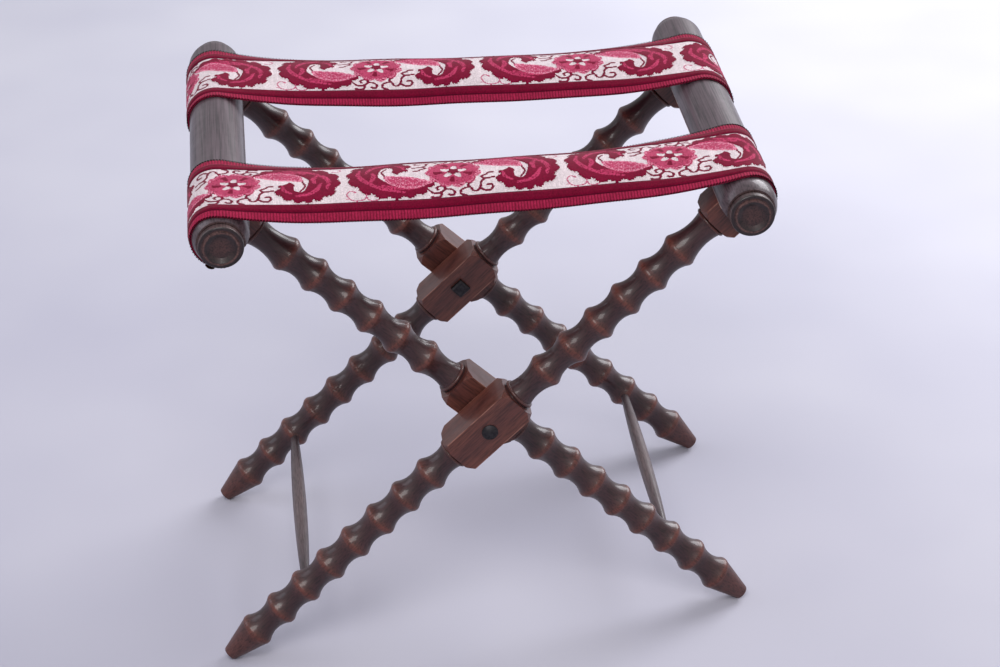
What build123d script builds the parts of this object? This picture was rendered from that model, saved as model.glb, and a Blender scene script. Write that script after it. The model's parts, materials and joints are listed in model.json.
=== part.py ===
from build123d import *
import os
from math import asin, cos, degrees, radians, sin, sqrt

# Folding luggage stand: two leg frames that cross and turn on two pivot bolts, with two webbing
# straps across the top. Millimetres, +Z up. The origin is on the floor, under the middle of the
# stand. X runs across, from rail to rail, and Y along the rails and the pivot axis, front at -Y.
# The right frame carries the right rail and stands on its left feet; the left frame mirrors it.

# ---- overall sizes
LEG_ANGLE = 43.3           # slope of every leg above the floor, stand open
RAIL_LENGTH = 418.0
RAIL_OVERHANG = 68.0       # rail beyond its legs, the mean of its two ends

# ---- legs, turned from square stock
STOCK = 36.0               # side of the square blocks
CREST_R = 16.5
VALLEY_R = 11.75
CREST_ROUND = 5.0          # rounding of each crest, lengthwise
CREST_PITCH = 32.6
FIRST_CREST = 72.6         # from the pivot axis, on both sides
LOWER_CRESTS = 8
UPPER_CRESTS = 6
FOOT_LENGTH = 36.5         # from the last crest to the foot's end
TOP_NECK = 40.05           # from the last crest to the top block
BLOCK_BELOW = 40.5         # pivot block, measured down and up from the pivot axis
BLOCK_ABOVE = 36.3
TOP_BLOCK = 18.0           # length of the square under the rail
COLLAR_R = 15.6            # bead next to each block
COLLAR_LENGTH = 3.4
QUIRK_R = 13.6             # narrow groove between bead and block
QUIRK_LENGTH = 1.2
PUMMEL_R = 20.5            # where the turned shoulders meet the blocks' ends, cut back at 45 degrees
FOOT_R = 7.3
FOOT_ROUND = 1.2
FOOT_WEAR = 1.1            # height of the flat worn on each foot's lower edge

# ---- rails
RAIL_R = 25.0
TAPER_LENGTH = 15.0        # from the body down to the neck
NECK_R = 21.2
TAPER_BULGE = 1.1          # how far the taper rounds out past a straight cone
GROOVE_R = 18.3
GROOVE_LENGTH = 1.6
RING_R = 19.5
RING_LENGTH = 6.5
RING_ROUND = 1.6
LIP_R = 16.0               # raised rim on the end face
LIP_HEIGHT = 1.8
LIP_EASE = 0.5             # slope on the rim's outer side
DISH_R = 13.6              # hollow inside the rim
DISH_FLOOR_R = 9.6
DISH_DEPTH = 2.4

# ---- stretchers
STRETCHER_CREST = 5        # crest that takes the stretcher, counted down from the pivot from 0
STRETCHER_MID_R = 6.6
STRETCHER_END_R = 4.0
STRETCHER_SOCKET = 11.0    # depth of its hole in the leg

# ---- pivots
PIN_R = 4.8
PIN_CLEARANCE = 0.05       # radial, in the frame that turns on the pin
SPACER_THICKNESS = 2.8
SPACER_R = 13.0
TURNING_GAP = 0.4          # between a block that turns and what it turns against
ROUND_HEAD_R = 7.3
ROUND_HEAD_RIM = 0.9       # upright edge of the round head
ROUND_HEAD_HEIGHT = 3.6
SQUARE_HEAD = 13.4
SQUARE_HEAD_HEIGHT = 5.0
SQUARE_HEAD_CHAMFER = 1.6
WASHER_R = 10.0
WASHER_THICKNESS = 1.8
NUT_SIDE = 14.0
NUT_THICKNESS = 6.5
NUT_CHAMFER = 1.0
PIN_TAIL = 2.0             # pin beyond its nut

# ---- tenons that hold the legs in the rails
TENON_R = 9.0
TENON_LENGTH = 22.0
TENON_SPARE = 1.0          # glue room at the bottom of the hole

# ---- straps and their tacks
STRAP_WIDTH = 108.0
STRAP_THICKNESS = 3.0
STRAP_LIFT = 0.4           # from the wood
FRONT_STRAP_INSET = 19.0   # from the rails' front ends to the front strap's edge, at its middle
FRONT_STRAP_SKEW = 12.0    # how much further back the strap lies on the right rail than on the left
BACK_STRAP_INSET = 57.0    # from the rails' back ends to the back strap's edge, at its middle
BACK_STRAP_SKEW = -21.0
STRAP_END_GAP = 6.6        # degrees round the rail, from the strap's end to the legs' blocks
TACK_SETBACK = 16.0        # degrees round the rail, from the strap's end to its tacks
TACK_COUNT = 5
TACK_MARGIN = 9.0          # from the strap's long edge to the first tack
TACK_HEAD_R = 4.2
TACK_HEAD_HEIGHT = 1.6
TACK_SEAT = 0.4            # between a tack's head and the strap
TACK_SHANK_R = 0.9
TACK_SHANK_LENGTH = 12.0
TACK_HOLE_CLEARANCE = 0.2  # radial, in the strap

# ---- worked out from the sizes above
ANGLE = radians(LEG_ANGLE)
LAST_LOWER = FIRST_CREST + (LOWER_CRESTS - 1) * CREST_PITCH
LAST_UPPER = FIRST_CREST + (UPPER_CRESTS - 1) * CREST_PITCH
LOWER_LEG = LAST_LOWER + FOOT_LENGTH               # pivot axis to the middle of the foot's end
LEG_TOP = LAST_UPPER + TOP_NECK + TOP_BLOCK        # pivot axis to the rail's flat
FLAT_DEPTH = sqrt(RAIL_R**2 - (STOCK / 2) ** 2)    # rail's axis to the flat that the legs meet
UPPER_LEG = LEG_TOP + FLAT_DEPTH                   # pivot axis to the rail's axis
LEG_SPACING = RAIL_LENGTH - 2 * RAIL_OVERHANG      # front leg to back leg of one frame
PIVOT_Z = LOWER_LEG * sin(ANGLE) + FOOT_R * cos(ANGLE) - FOOT_WEAR
STAGGER = STOCK + SPACER_THICKNESS + TURNING_GAP   # the left frame stands this far behind
RIGHT_FRONT_Y = -(LEG_SPACING + STAGGER) / 2
LEFT_FRONT_Y = RIGHT_FRONT_Y + STAGGER
UP_RIGHT = Vector(cos(ANGLE), 0, sin(ANGLE))
UP_LEFT = Vector(-cos(ANGLE), 0, sin(ANGLE))
FORWARD = Vector(0, -1, 0)
TENON_HOLE = TENON_LENGTH + TENON_SPARE
STRETCHER_AT = FIRST_CREST + STRETCHER_CREST * CREST_PITCH
BLOCK_REACH = 0.75 * STOCK                         # just past the blocks' corners
CREST_HEIGHT = CREST_R - VALLEY_R
ROUND_DOME = ROUND_HEAD_HEIGHT - ROUND_HEAD_RIM
STRAP_END_ANGLE = 180 - LEG_ANGLE - degrees(asin(STOCK / 2 / RAIL_R)) - STRAP_END_GAP   # below the outer side
TACK_ANGLE = STRAP_END_ANGLE - TACK_SETBACK
STRAP_IN_R = RAIL_R + STRAP_LIFT
STRAP_OUT_R = STRAP_IN_R + STRAP_THICKNESS
FRONT_STRAP_Y = FRONT_STRAP_INSET + (STRAP_WIDTH - RAIL_LENGTH) / 2
BACK_STRAP_Y = (RAIL_LENGTH - STRAP_WIDTH) / 2 - BACK_STRAP_INSET
STRAPS = (("front", FRONT_STRAP_Y, FRONT_STRAP_SKEW), ("back", BACK_STRAP_Y, BACK_STRAP_SKEW))


def on_leg(direction, distance, y):
    """Point on a leg's axis, at a distance up it from the pivot axis."""
    return Vector(0, y, PIVOT_Z) + direction * distance


def across_leg(direction, distance, y):
    """Plane square to a leg, normal up the leg, with a side along Y."""
    return Plane(origin=on_leg(direction, distance, y), x_dir=(0, 1, 0), z_dir=direction)


def leg_section(direction, y):
    """Plane through a leg's axis: local X is the radius and local Y runs up the leg."""
    return Plane(origin=on_leg(direction, 0, y), x_dir=direction.cross(FORWARD), z_dir=FORWARD)


def facing_forward(x, y, z):
    """Plane for round shapes about an axis along Y, seen from the front."""
    return Plane(origin=(x, y, z), x_dir=(1, 0, 0), z_dir=(0, -1, 0))


def crest_edge():
    """Radius and lengthwise offset where a crest's rounding runs into the coves beside it."""
    centres = ((CREST_PITCH / 2) ** 2 + CREST_HEIGHT**2) / (2 * CREST_HEIGHT)
    share = CREST_ROUND / centres
    return CREST_R - CREST_ROUND + share * (centres - CREST_HEIGHT), share * CREST_PITCH / 2


EDGE_R, EDGE_RUN = crest_edge()
BEAD_END = QUIRK_LENGTH + COLLAR_LENGTH            # from a block's end to the far side of its bead


def draw_bead(block_end, away):
    """Quirk and bead beside a block's end; away is +1 where the turning runs on to +Y."""
    quirk = block_end + away * QUIRK_LENGTH
    far = block_end + away * BEAD_END
    Line((0, block_end), (QUIRK_R, block_end))
    Line((QUIRK_R, block_end), (QUIRK_R, quirk))
    ThreePointArc((QUIRK_R, quirk), (COLLAR_R, (quirk + far) / 2), (QUIRK_R, far))
    return QUIRK_R, far


def draw_cove(start, end):
    """Hollow between two points of the outline, down to the valley's radius."""
    ThreePointArc(start, (VALLEY_R, (start[1] + end[1]) / 2), end)


def draw_crests(count):
    """Row of crests with coves between, the first at its distance from the pivot axis."""
    for number in range(count):
        at = FIRST_CREST + number * CREST_PITCH
        ThreePointArc((EDGE_R, at - EDGE_RUN), (CREST_R, at), (EDGE_R, at + EDGE_RUN))
        if number < count - 1:
            draw_cove((EDGE_R, at + EDGE_RUN), (EDGE_R, at + CREST_PITCH - EDGE_RUN))


def draw_foot():
    """Tapered foot beyond the last crest, its end square to the leg with a broken edge."""
    Line((EDGE_R, LAST_LOWER + EDGE_RUN), (FOOT_R, LOWER_LEG - FOOT_ROUND))
    ThreePointArc((FOOT_R, LOWER_LEG - FOOT_ROUND),
                  (FOOT_R - FOOT_ROUND * (1 - sqrt(0.5)), LOWER_LEG - FOOT_ROUND * (1 - sqrt(0.5))),
                  (FOOT_R - FOOT_ROUND, LOWER_LEG))
    Line((FOOT_R - FOOT_ROUND, LOWER_LEG), (0, LOWER_LEG))


def square_block(direction, y, start, end, pummel_end):
    """Square block of a leg with its corners turned off, at the far end only where that shows."""
    rise = BLOCK_REACH - PUMMEL_R
    far_end = [(BLOCK_REACH, end - rise), (PUMMEL_R, end)] if pummel_end else [(BLOCK_REACH, end)]
    with BuildPart() as block:
        with BuildSketch(across_leg(direction, start, y)):
            Rectangle(STOCK, STOCK)
        extrude(amount=end - start)
        with BuildSketch(leg_section(direction, y)):
            with BuildLine():
                Polyline((0, start), (PUMMEL_R, start), (BLOCK_REACH, start + rise), *far_end, (0, end),
                         close=True)
            make_face()
        revolve(axis=Axis(on_leg(direction, 0, y), direction), mode=Mode.INTERSECT)
    return block.part


def leg(direction, y, inward, pin_hole_r):
    """One leg: foot, crests, pivot block, crests, top block and tenon, turned in one piece."""
    axis = Axis(on_leg(direction, 0, y), direction)
    top_start = LEG_TOP - TOP_BLOCK
    foot = on_leg(direction, -LOWER_LEG, y)
    socket = on_leg(direction, -STRETCHER_AT, y + inward * (CREST_R - STRETCHER_SOCKET))
    pivot_block = square_block(direction, y, -BLOCK_BELOW, BLOCK_ABOVE, pummel_end=True)
    top_block = square_block(direction, y, top_start, LEG_TOP, pummel_end=False)
    with BuildPart() as turned:
        with BuildSketch(leg_section(-direction, y)):
            with BuildLine():
                bead = draw_bead(BLOCK_BELOW, 1)
                draw_cove(bead, (EDGE_R, FIRST_CREST - EDGE_RUN))
                draw_crests(LOWER_CRESTS)
                draw_foot()
                Line((0, LOWER_LEG), (0, BLOCK_BELOW))
            make_face()
        revolve(axis=axis)
        with BuildSketch(leg_section(direction, y)):
            with BuildLine():
                bead = draw_bead(BLOCK_ABOVE, 1)
                draw_cove(bead, (EDGE_R, FIRST_CREST - EDGE_RUN))
                draw_crests(UPPER_CRESTS)
                bead = draw_bead(top_start, -1)
                draw_cove((EDGE_R, LAST_UPPER + EDGE_RUN), bead)
                Line((0, top_start), (0, BLOCK_ABOVE))
            make_face()
        revolve(axis=axis)
        add(pivot_block)
        add(top_block)
        with BuildSketch(across_leg(direction, LEG_TOP, y)):
            Circle(TENON_R)
        extrude(amount=TENON_LENGTH)
        with BuildSketch(facing_forward(0, y, PIVOT_Z)):
            Circle(pin_hole_r)
        extrude(amount=STOCK, both=True, mode=Mode.SUBTRACT)
        with BuildSketch(facing_forward(socket.X, socket.Y, socket.Z)):
            Circle(STRETCHER_END_R)
        extrude(amount=-inward * STOCK, mode=Mode.SUBTRACT)
        with BuildSketch(Plane(origin=(foot.X, y, 0))):
            Circle(STOCK)
        extrude(amount=-STOCK, mode=Mode.SUBTRACT)
    return turned.part


# ---- rails
def rail_end_outline(sign):
    """Half of a rail's turned outline, from its middle out to one end; sign is the end's side."""
    half = RAIL_LENGTH / 2
    face = half - LIP_HEIGHT
    groove = face - RING_LENGTH
    neck = groove - GROOVE_LENGTH
    body = neck - TAPER_LENGTH
    turn = RING_ROUND * (1 - sqrt(0.5))

    def at(radius, y):
        return radius, sign * y

    Line(at(RAIL_R, 0), at(RAIL_R, body))
    ThreePointArc(at(RAIL_R, body), at((RAIL_R + NECK_R) / 2 + TAPER_BULGE, (body + neck) / 2),
                  at(NECK_R, neck))
    Polyline(at(NECK_R, neck), at(GROOVE_R, neck), at(GROOVE_R, groove), at(RING_R, groove),
             at(RING_R, face - RING_ROUND))
    ThreePointArc(at(RING_R, face - RING_ROUND), at(RING_R - turn, face - turn),
                  at(RING_R - RING_ROUND, face))
    Polyline(at(RING_R - RING_ROUND, face), at(LIP_R, face), at(LIP_R - LIP_EASE, half),
             at(DISH_R, half), at(DISH_FLOOR_R, half - DISH_DEPTH), at(0, half - DISH_DEPTH))


def rail(direction, leg_ys, tack_side):
    """Top rail: a round bar with a flat for the legs, turned ends, tenon and tack holes."""
    centre = on_leg(direction, UPPER_LEG, 0)
    flat_end = RAIL_LENGTH / 2 - LIP_HEIGHT - RING_LENGTH - GROOVE_LENGTH
    with BuildPart() as turned:
        with BuildSketch(Plane(origin=centre, x_dir=-direction, z_dir=(-direction).cross(-FORWARD))):
            with BuildLine():
                rail_end_outline(1)
                rail_end_outline(-1)
                Line((0, RAIL_LENGTH / 2 - DISH_DEPTH), (0, DISH_DEPTH - RAIL_LENGTH / 2))
            make_face()
        revolve(axis=Axis(centre, -FORWARD))
        with BuildSketch(across_leg(direction, LEG_TOP, 0)):
            Rectangle(2 * flat_end, 2 * RAIL_R)
        extrude(amount=-RAIL_R, mode=Mode.SUBTRACT)
        for y in leg_ys:
            with BuildSketch(across_leg(direction, LEG_TOP, y)):
                Circle(TENON_R)
            extrude(amount=TENON_HOLE, mode=Mode.SUBTRACT)
        for _, strap_y, skew in STRAPS:
            for plane in tack_planes(centre, tack_side, strap_y, skew):
                with BuildSketch(plane):
                    Circle(TACK_SHANK_R)
                extrude(amount=-TACK_SHANK_LENGTH, mode=Mode.SUBTRACT)
    return turned.part


# ---- stretchers
def stretcher(direction, leg_ys):
    """Tapered rod between a frame's two legs, thickest in the middle, with straight ends."""
    start = leg_ys[0] + CREST_R - STRETCHER_SOCKET
    end = leg_ys[1] - CREST_R + STRETCHER_SOCKET
    half = (end - start) / 2
    shoulder = half - STRETCHER_SOCKET
    centre = on_leg(direction, -STRETCHER_AT, (start + end) / 2)
    with BuildPart() as rod:
        with BuildSketch(Plane(origin=centre, x_dir=(1, 0, 0), z_dir=(0, 0, 1))):
            with BuildLine():
                Line((STRETCHER_END_R, half), (STRETCHER_END_R, shoulder))
                ThreePointArc((STRETCHER_END_R, shoulder), (STRETCHER_MID_R, 0),
                              (STRETCHER_END_R, -shoulder))
                Polyline((STRETCHER_END_R, -shoulder), (STRETCHER_END_R, -half), (0, -half), (0, half),
                         (STRETCHER_END_R, half))
            make_face()
        revolve(axis=Axis(centre, (0, 1, 0)))
    return rod.part


# ---- pivots
def disc(y, radius, thickness, hole_r):
    """Flat ring on the pivot axis, its front face at y."""
    with BuildPart() as ring:
        with BuildSketch(facing_forward(0, y, PIVOT_Z)):
            Circle(radius)
            Circle(hole_r, mode=Mode.SUBTRACT)
        extrude(amount=-thickness)
    return ring.part


def pivot_pin(block_front, tail_end, square_head):
    """Pivot bolt: its head on the front block's face and its shank out past the nut."""
    with BuildPart() as pin:
        with BuildSketch(facing_forward(0, block_front, PIVOT_Z)):
            Circle(PIN_R)
        extrude(amount=-(tail_end - block_front))
        if square_head:
            with BuildSketch(facing_forward(0, block_front, PIVOT_Z)):
                Rectangle(SQUARE_HEAD, SQUARE_HEAD, rotation=LEG_ANGLE)
            extrude(amount=SQUARE_HEAD_HEIGHT)
            chamfer(pin.edges().group_by(Axis.Y)[0], SQUARE_HEAD_CHAMFER)
        else:
            with BuildSketch(Plane(origin=(0, block_front, PIVOT_Z), x_dir=(1, 0, 0), z_dir=(0, 0, 1))):
                with BuildLine():
                    Line((0, 0), (ROUND_HEAD_R, 0))
                    Line((ROUND_HEAD_R, 0), (ROUND_HEAD_R, -ROUND_HEAD_RIM))
                    dome_r = (ROUND_HEAD_R**2 + ROUND_DOME**2) / (2 * ROUND_DOME)
                    RadiusArc((ROUND_HEAD_R, -ROUND_HEAD_RIM), (0, -ROUND_HEAD_HEIGHT), dome_r)
                    Line((0, -ROUND_HEAD_HEIGHT), (0, 0))
                make_face()
            revolve(axis=Axis((0, block_front, PIVOT_Z), (0, 1, 0)))
    return pin.part


def square_nut(y):
    """Square nut on the pin, its front face at y."""
    with BuildPart() as nut:
        with BuildSketch(facing_forward(0, y, PIVOT_Z)):
            Rectangle(NUT_SIDE, NUT_SIDE, rotation=LEG_ANGLE)
        extrude(amount=-NUT_THICKNESS)
        chamfer(nut.edges().group_by(Axis.Y)[-1], NUT_CHAMFER)
        with BuildSketch(facing_forward(0, y, PIVOT_Z)):
            Circle(PIN_R)
        extrude(amount=-NUT_THICKNESS, mode=Mode.SUBTRACT)
    return nut.part


# ---- straps
def strap_spot(centre, side, angle, radius):
    """Point and outward direction on a strap where it goes round a rail; angle 0 is outermost."""
    outward = Vector(side * cos(radians(angle)), 0, sin(radians(angle)))
    return centre + outward * radius, outward


def tack_planes(centre, side, strap_y, skew):
    """Planes on a strap's outer face, one for each tack of the row under one rail."""
    spot, outward = strap_spot(centre, side, -TACK_ANGLE, STRAP_OUT_R + TACK_SEAT)
    reach = STRAP_WIDTH / 2 - TACK_MARGIN
    step = 2 * reach / (TACK_COUNT - 1)
    first = strap_y + side * skew / 2 - reach
    return [Plane(origin=spot + Vector(0, first + i * step, 0), x_dir=(0, 1, 0), z_dir=outward)
            for i in range(TACK_COUNT)]


def strap_outline(radius, centres):
    """Line of one face of the strap from under the left rail, over both, to under the right one."""
    left, right = centres
    arcs = []
    for side, centre in ((-1, left), (1, right)):
        low, _ = strap_spot(centre, side, -STRAP_END_ANGLE, radius)
        out, _ = strap_spot(centre, side, 0, radius)
        arcs.append(((low.X, low.Z), (out.X, out.Z), (centre.X, centre.Z + radius)))
    ThreePointArc(*arcs[0])
    Line(arcs[0][2], arcs[1][2])
    ThreePointArc(*reversed(arcs[1]))
    return arcs[0][0], arcs[1][0]


def strap(strap_y, skew, centres):
    """Webbing strap over both rails, a little askew, with holes for its tacks."""
    past_rail = centres[1].X + 2 * RAIL_R
    drift = skew / 2 * past_rail / centres[1].X
    with BuildPart() as web:
        with BuildSketch(Plane(origin=(0, strap_y, 0), x_dir=(1, 0, 0), z_dir=(0, -1, 0))):
            with BuildLine():
                inner = strap_outline(STRAP_IN_R, centres)
                outer = strap_outline(STRAP_OUT_R, centres)
                Line(inner[0], outer[0])
                Line(inner[1], outer[1])
            make_face()
        extrude(amount=STRAP_WIDTH / 2 + abs(drift), both=True)
        with BuildSketch(Plane.XY):
            with BuildLine():
                Polyline((-past_rail, strap_y - drift - STRAP_WIDTH / 2),
                         (past_rail, strap_y + drift - STRAP_WIDTH / 2),
                         (past_rail, strap_y + drift + STRAP_WIDTH / 2),
                         (-past_rail, strap_y - drift + STRAP_WIDTH / 2), close=True)
            make_face()
        extrude(amount=centres[1].Z + 2 * RAIL_R, mode=Mode.INTERSECT)
        for side, centre in zip((-1, 1), centres):
            for plane in tack_planes(centre, side, strap_y, skew):
                with BuildSketch(plane):
                    Circle(TACK_SHANK_R + TACK_HOLE_CLEARANCE)
                extrude(amount=-2 * STRAP_THICKNESS, mode=Mode.SUBTRACT)
    return web.part


def tacks(centre, side, strap_y, skew):
    """Row of domed tacks that holds one strap end under its rail."""
    dome_r = (TACK_HEAD_R**2 + TACK_HEAD_HEIGHT**2) / (2 * TACK_HEAD_HEIGHT)
    with BuildPart() as row:
        for plane in tack_planes(centre, side, strap_y, skew):
            with BuildSketch(plane):
                Circle(TACK_SHANK_R)
            extrude(amount=-TACK_SHANK_LENGTH)
            with BuildSketch(Plane(origin=plane.origin, x_dir=plane.x_dir, z_dir=-plane.y_dir)):
                with BuildLine():
                    Line((0, 0), (TACK_HEAD_R, 0))
                    RadiusArc((TACK_HEAD_R, 0), (0, TACK_HEAD_HEIGHT), -dome_r)
                    Line((0, TACK_HEAD_HEIGHT), (0, 0))
                make_face()
            revolve(axis=Axis(plane.origin, plane.z_dir))
    return row.part


# ---- the stand, piece by piece
os.makedirs("parts", exist_ok=True)
rail_centres = (on_leg(UP_LEFT, UPPER_LEG, 0), on_leg(UP_RIGHT, UPPER_LEG, 0))
pieces = {}
for frame, direction, front_y, pin_hole_r, rail_side, stretcher_name in (
        ("right", UP_RIGHT, RIGHT_FRONT_Y, PIN_R, 1, "left_stretcher"),
        ("left", UP_LEFT, LEFT_FRONT_Y, PIN_R + PIN_CLEARANCE, -1, "right_stretcher")):
    leg_ys = (front_y, front_y + LEG_SPACING)
    pieces[f"{frame}_frame_front_leg"] = leg(direction, leg_ys[0], 1, pin_hole_r)
    pieces[f"{frame}_frame_back_leg"] = leg(direction, leg_ys[1], -1, pin_hole_r)
    pieces[f"{frame}_rail"] = rail(direction, leg_ys, rail_side)
    pieces[stretcher_name] = stretcher(direction, leg_ys)

for place, leg_y, square_head in (("front", RIGHT_FRONT_Y, False),
                                  ("back", RIGHT_FRONT_Y + LEG_SPACING, True)):
    spacer_y = leg_y + STOCK / 2
    washer_y = leg_y + STAGGER + STOCK / 2 + TURNING_GAP
    nut_y = washer_y + WASHER_THICKNESS
    tail_y = nut_y + NUT_THICKNESS + PIN_TAIL
    pieces[f"{place}_pivot_bolt"] = pivot_pin(leg_y - STOCK / 2, tail_y, square_head)
    pieces[f"{place}_pivot_spacer"] = disc(spacer_y, SPACER_R, SPACER_THICKNESS, PIN_R)
    pieces[f"{place}_pivot_washer"] = disc(washer_y, WASHER_R, WASHER_THICKNESS, PIN_R)
    pieces[f"{place}_pivot_nut"] = square_nut(nut_y)

for place, strap_y, skew in STRAPS:
    pieces[f"{place}_strap"] = strap(strap_y, skew, rail_centres)
    for side, centre, name in ((-1, rail_centres[0], "left"), (1, rail_centres[1], "right")):
        pieces[f"{place}_strap_{name}_tacks"] = tacks(centre, side, strap_y, skew)

for name, piece in pieces.items():
    piece.label = name
    export_step(piece, f"parts/{name}.step")
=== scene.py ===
"""Folding luggage stand: waxed ring-turned legs and rails, iron pivots and two cut-velvet straps.

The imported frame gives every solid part. This script dresses those parts, and replaces the two plain
straps with woven ones, which are laid over the rails cell by cell from the loom's card.
Sizes are in metres unless a name ends in _mm.
"""
import json
import logging
import math
from dataclasses import dataclass, field
from enum import Enum, IntEnum

import bpy
import numpy as np
from mathutils import Euler, Matrix, Vector


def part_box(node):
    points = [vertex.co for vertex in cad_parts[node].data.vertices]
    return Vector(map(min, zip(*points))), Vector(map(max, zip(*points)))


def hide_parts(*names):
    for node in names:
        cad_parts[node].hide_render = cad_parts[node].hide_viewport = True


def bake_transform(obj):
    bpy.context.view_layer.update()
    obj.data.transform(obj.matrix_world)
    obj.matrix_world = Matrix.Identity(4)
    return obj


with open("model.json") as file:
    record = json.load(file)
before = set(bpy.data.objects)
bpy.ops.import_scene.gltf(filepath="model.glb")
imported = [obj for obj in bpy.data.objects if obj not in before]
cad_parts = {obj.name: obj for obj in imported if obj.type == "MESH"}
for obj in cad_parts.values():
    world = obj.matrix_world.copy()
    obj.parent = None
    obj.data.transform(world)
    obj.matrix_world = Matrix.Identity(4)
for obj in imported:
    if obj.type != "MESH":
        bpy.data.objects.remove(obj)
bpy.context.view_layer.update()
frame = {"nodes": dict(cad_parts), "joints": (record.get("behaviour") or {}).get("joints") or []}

log = logging.getLogger("luggage_stand")

MM = 0.001
MIX_FACTOR, MIX_A, MIX_B, MIX_RESULT = 0, 6, 7, 2   # sockets of a Mix node that mixes colours
LAID_OVER = {"data_type": "RGBA", "blend_type": "MIX"}
MULTIPLIED = {"data_type": "RGBA", "blend_type": "MULTIPLY"}


# ---------------------------------------------------------------- nodes and colours
def linear(hex_colour: str) -> tuple[float, float, float, float]:
    """Turns an sRGB hex colour into the linear colour that shaders take.

    Args:
        hex_colour: Six hex digits, with or without a leading #.

    Returns:
        Red, green, blue and an alpha of 1.
    """
    digits = hex_colour.lstrip("#")
    channels = [int(digits[i:i + 2], 16) / 255 for i in (0, 2, 4)]
    return (*(c / 12.92 if c <= 0.04045 else ((c + 0.055) / 1.055) ** 2.4 for c in channels), 1.0)


def add(tree: bpy.types.NodeTree, kind: str, settings: dict | None = None,
        inputs: dict | None = None) -> bpy.types.Node:
    """Adds a node with its settings and its inputs.

    Args:
        tree: Node tree that gets the node.
        kind: Blender's name for the node's type.
        settings: Properties of the node itself. A colour ramp's "stops" are the position and the sRGB
            hex colour of each stop, in order.
        inputs: Socket name or number, to a value or to another node's output socket.

    Returns:
        The new node.
    """
    node = tree.nodes.new(kind)
    for name, value in (settings or {}).items():
        if name != "stops":
            setattr(node, name, value)
            continue
        elements = node.color_ramp.elements
        while len(elements) < len(value):
            elements.new(1.0)
        for element, (position, colour) in zip(elements, value):
            element.position = position
            element.color = linear(colour)
    for key, value in (inputs or {}).items():
        if isinstance(value, bpy.types.NodeSocket):
            tree.links.new(value, node.inputs[key])
        else:
            node.inputs[key].default_value = value
    return node


@dataclass(frozen=True)
class Patches:
    """Soft light and dark patches of a real size, such as pores, mottling or the painted shade between a
    yarn's threads.
    """

    width_mm: float                                         # width of one patch
    octaves: float = 3.0                                    # how much finer noise lies in a patch
    stretch: tuple[float, float, float] = (1.0, 1.0, 1.0)   # times longer along each axis

    def over(self, tree: bpy.types.NodeTree, place: bpy.types.NodeSocket) -> bpy.types.NodeSocket:
        """Draws the patches over a material.

        Args:
            tree: The material's tree.
            place: Position in metres.

        Returns:
            The socket with the patches, from 0 to 1.
        """
        scaled = add(tree, "ShaderNodeVectorMath", {"operation": "DIVIDE"},
                     {0: place, 1: self.stretch})
        drawn = add(tree, "ShaderNodeTexNoise", None, {
            "Vector": scaled.outputs[0], "Scale": 1 / (2 * self.width_mm * MM),
            "Detail": self.octaves, "Roughness": 0.55})
        return drawn.outputs["Fac"]


def new_material(name: str) -> tuple[bpy.types.Material, bpy.types.NodeTree, bpy.types.Node]:
    """Makes a material with a bare Principled shader.

    Args:
        name: The material's name.

    Returns:
        The material, its tree and its shader.
    """
    material = bpy.data.materials.new(name)
    material.use_nodes = True
    tree = material.node_tree
    tree.nodes.clear()
    shader = add(tree, "ShaderNodeBsdfPrincipled")
    add(tree, "ShaderNodeOutputMaterial", None, {"Surface": shader.outputs["BSDF"]})
    return material, tree, shader


def dress(obj: bpy.types.Object, *materials: bpy.types.Material) -> None:
    """Gives an object's mesh these materials in place of its own.

    Args:
        obj: The object.
        materials: One material for every slot, or the slots' materials in order.
    """
    slots = obj.data.materials
    if len(materials) == 1 and len(slots):
        for number in range(len(slots)):
            slots[number] = materials[0]
        return
    slots.clear()
    for material in materials:
        slots.append(material)


# ---------------------------------------------------------------- the stand's own measures
@dataclass(frozen=True)
class StandPlan:
    """Where the stand's parts are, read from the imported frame."""

    pivot: Vector
    rail_radius: float
    rail_x: float
    rail_z: float
    rail_half_length: float

    @classmethod
    def from_frame(cls) -> "StandPlan":
        """Measures the frame's joint and its right rail.

        Returns:
            The plan, in the frame's own metres.
        """
        low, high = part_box("right_rail")
        radius = (high.z - low.z) / 2
        return cls(pivot=Vector(frame["joints"][0]["pos_m"]), rail_radius=radius,
                   rail_x=high.x - radius, rail_z=high.z - radius, rail_half_length=high.y)

    @property
    def slope(self) -> float:
        """Angle of the legs above the floor, in radians."""
        return math.atan2(self.rail_z - self.pivot.z, self.rail_x)


class Side(IntEnum):
    """Side of the stand that something at the top is on, as a sign of X."""

    LEFT = -1
    RIGHT = 1


# ---------------------------------------------------------------- wood
@dataclass(frozen=True)
class Bore:
    """A turned part's own axes: Z along the turning, X square to it in the stand's XZ plane."""

    origin: Vector
    turn: Euler


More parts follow.
